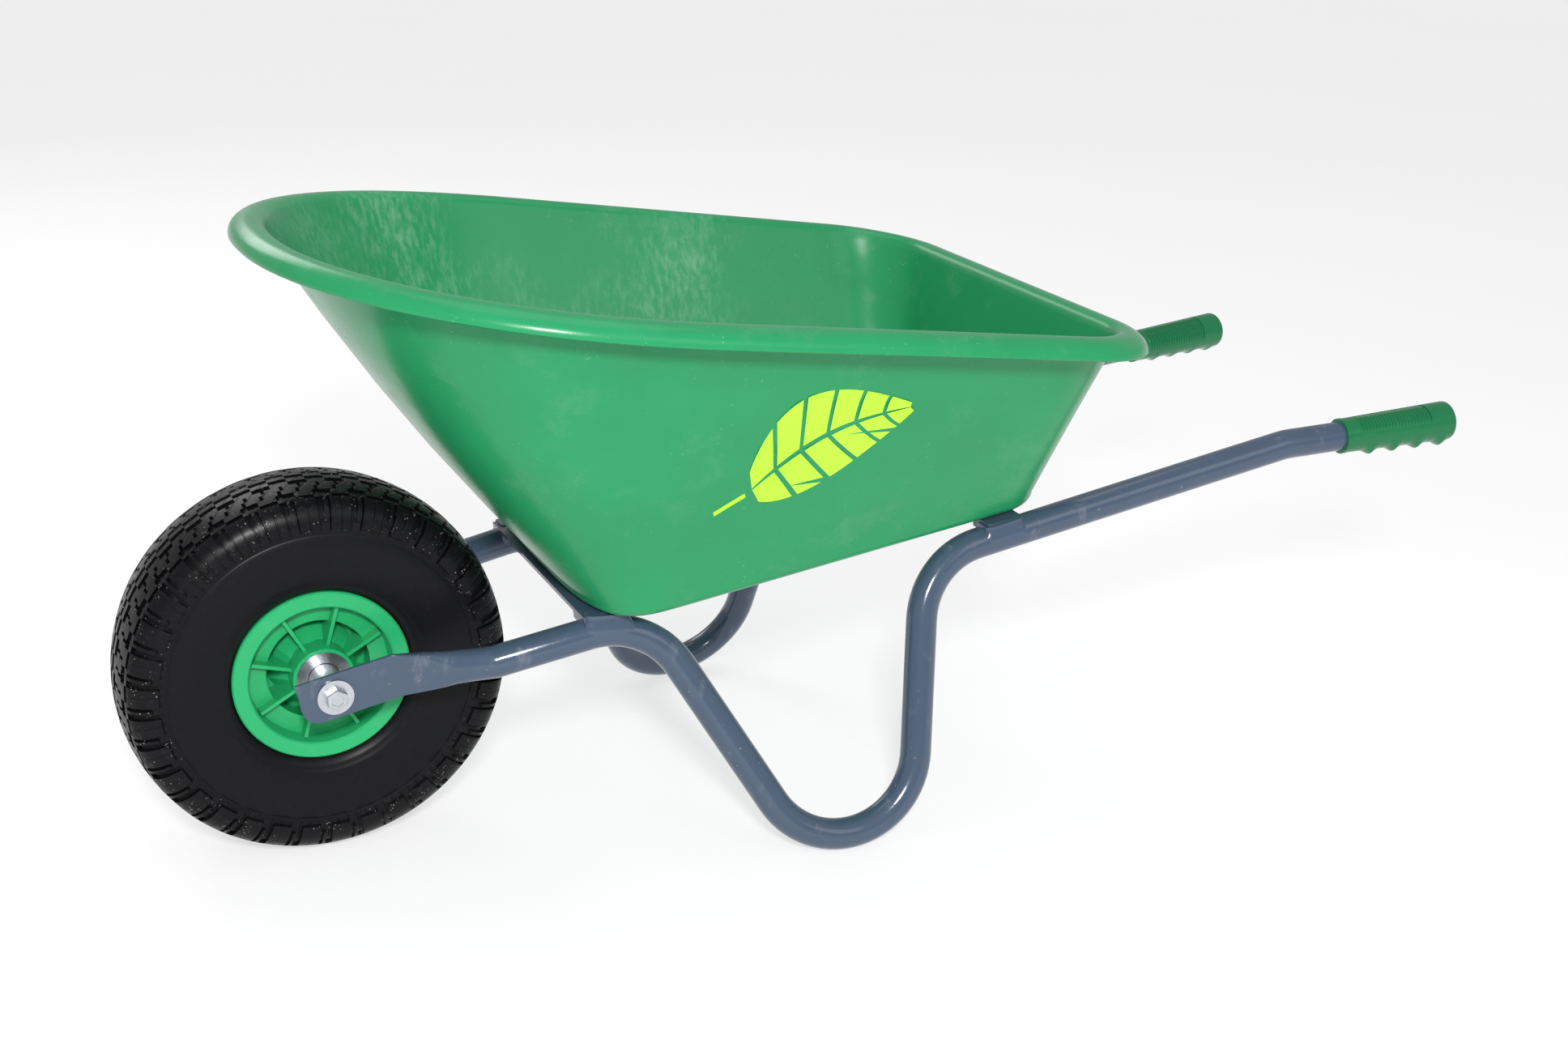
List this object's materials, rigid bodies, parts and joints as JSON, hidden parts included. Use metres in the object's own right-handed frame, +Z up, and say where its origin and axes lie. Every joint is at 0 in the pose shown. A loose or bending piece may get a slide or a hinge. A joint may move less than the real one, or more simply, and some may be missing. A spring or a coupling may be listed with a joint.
{
  "type": "wheelbarrow",
  "caption": "Small garden wheelbarrow with a moulded plastic tray, bent tube side frames with looped legs and an air-filled wheel that spins on a bolted axle.",
  "frame": {"origin": "on the ground, at the middle of the whole length and width", "axes": "+X from the wheel to the handles, +Y to the user's right, +Z up"},
  "size_m": [0.9754, 0.444, 0.4241],
  "materials": {
    "tyre": "satin",
    "inner_tube": "matte",
    "hub": "glossy",
    "zinc": "zinc plated",
    "bearing_steel": "ground",
    "valve": "matte",
    "frame": "glossy",
    "tray": "satin",
    "grip": "glossy"
  },
  "bodies": {
    "frame": {"inner_race_left": "bearing_steel", "inner_race_right": "bearing_steel", "axle_sleeve": "zinc", "spacer_left": "zinc", "spacer_right": "zinc", "axle_bolt": "zinc", "axle_nut": "zinc", "axle_washers": "zinc", "side_frame_left": "frame", "side_frame_right": "frame", "front_strap": "frame", "rear_strap": "frame", "tray": "tray", "tray_bolts": "zinc", "tray_washers": "zinc", "tray_nuts": "zinc", "grip_left": "grip", "grip_right": "grip"},
    "wheel": {"tyre": "tyre", "inner_tube": "inner_tube", "rim_left": "hub", "rim_right": "hub", "rim_screws": "zinc", "valve_stem": "valve", "valve_cap": "valve", "outer_race_left": "bearing_steel", "outer_race_right": "bearing_steel", "bearing_cover_left": "zinc", "bearing_cover_right": "zinc"},
    "balls": {"bearing_balls_left": "bearing_steel", "bearing_balls_right": "bearing_steel"}
  },
  "joints": [
    {"name": "wheel_spin", "type": "hinge", "parent": "frame", "child": "wheel", "pos_m": [-0.3577, 0, 0.13], "axis": [0, 1, 0], "continuous": true},
    {"name": "ball_roll", "type": "hinge", "parent": "frame", "child": "balls", "pos_m": [-0.3577, 0, 0.13], "axis": [0, 1, 0], "continuous": true}
  ],
  "couplings": [
    {"joint": "ball_roll", "follows": "wheel_spin", "ratio": 0.612}
  ]
}
